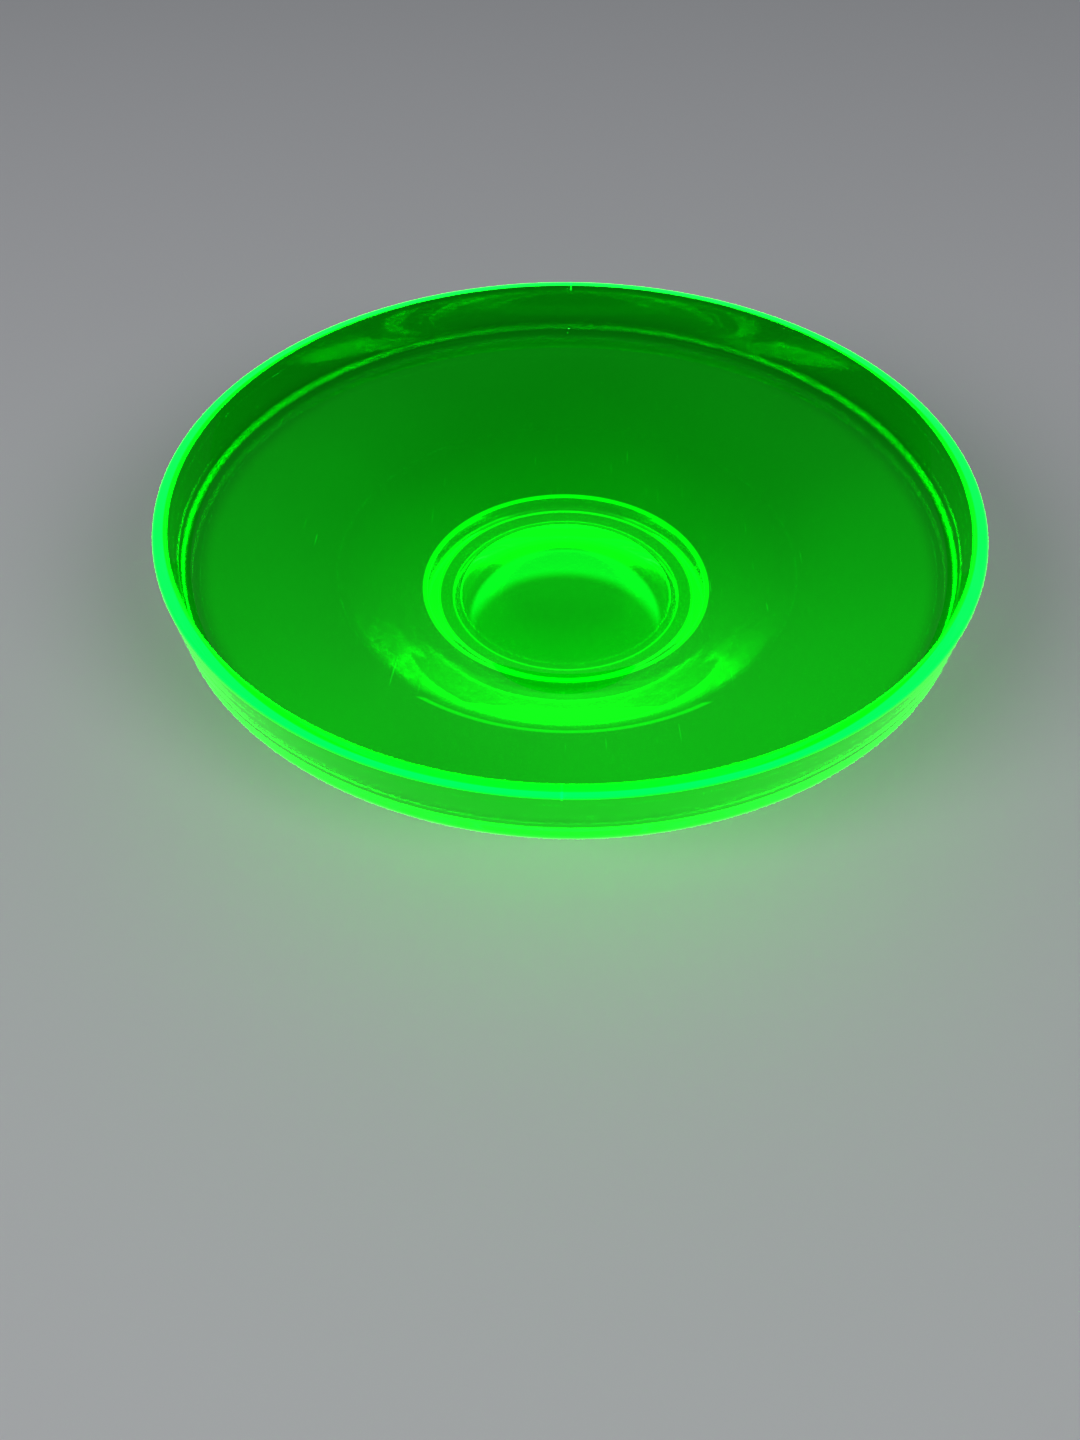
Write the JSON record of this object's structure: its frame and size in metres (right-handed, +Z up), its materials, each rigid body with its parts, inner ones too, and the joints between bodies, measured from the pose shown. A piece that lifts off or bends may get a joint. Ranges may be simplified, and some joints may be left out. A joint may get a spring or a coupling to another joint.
{
  "type": "footed glass dish",
  "caption": "Wide shallow round dish in fluorescing green uranium glass, with an upright collar, a sloping flank and a low foot ring.",
  "frame": {"origin": "centre of the foot's resting face, on the axis that the dish is turned about", "axes": "+Z up along the axis, towards the open mouth; X and Y are any two directions square to it"},
  "size_m": [0.2538, 0.2538, 0.057],
  "materials": {
    "uranium_glass": "fire polished, clear green, fluoresces under ultraviolet light",
    "polished_lip": "fire polished edge, brightest where light leaves the glass",
    "foot_glass": "polished sides, finely ground resting face"
  },
  "bodies": {
    "root": {"lip": "polished_lip", "collar": "uranium_glass", "heel": "uranium_glass", "flank": "uranium_glass", "base_pad": "uranium_glass", "floor_disc": "uranium_glass", "foot_ring": "foot_glass"}
  },
  "joints": []
}
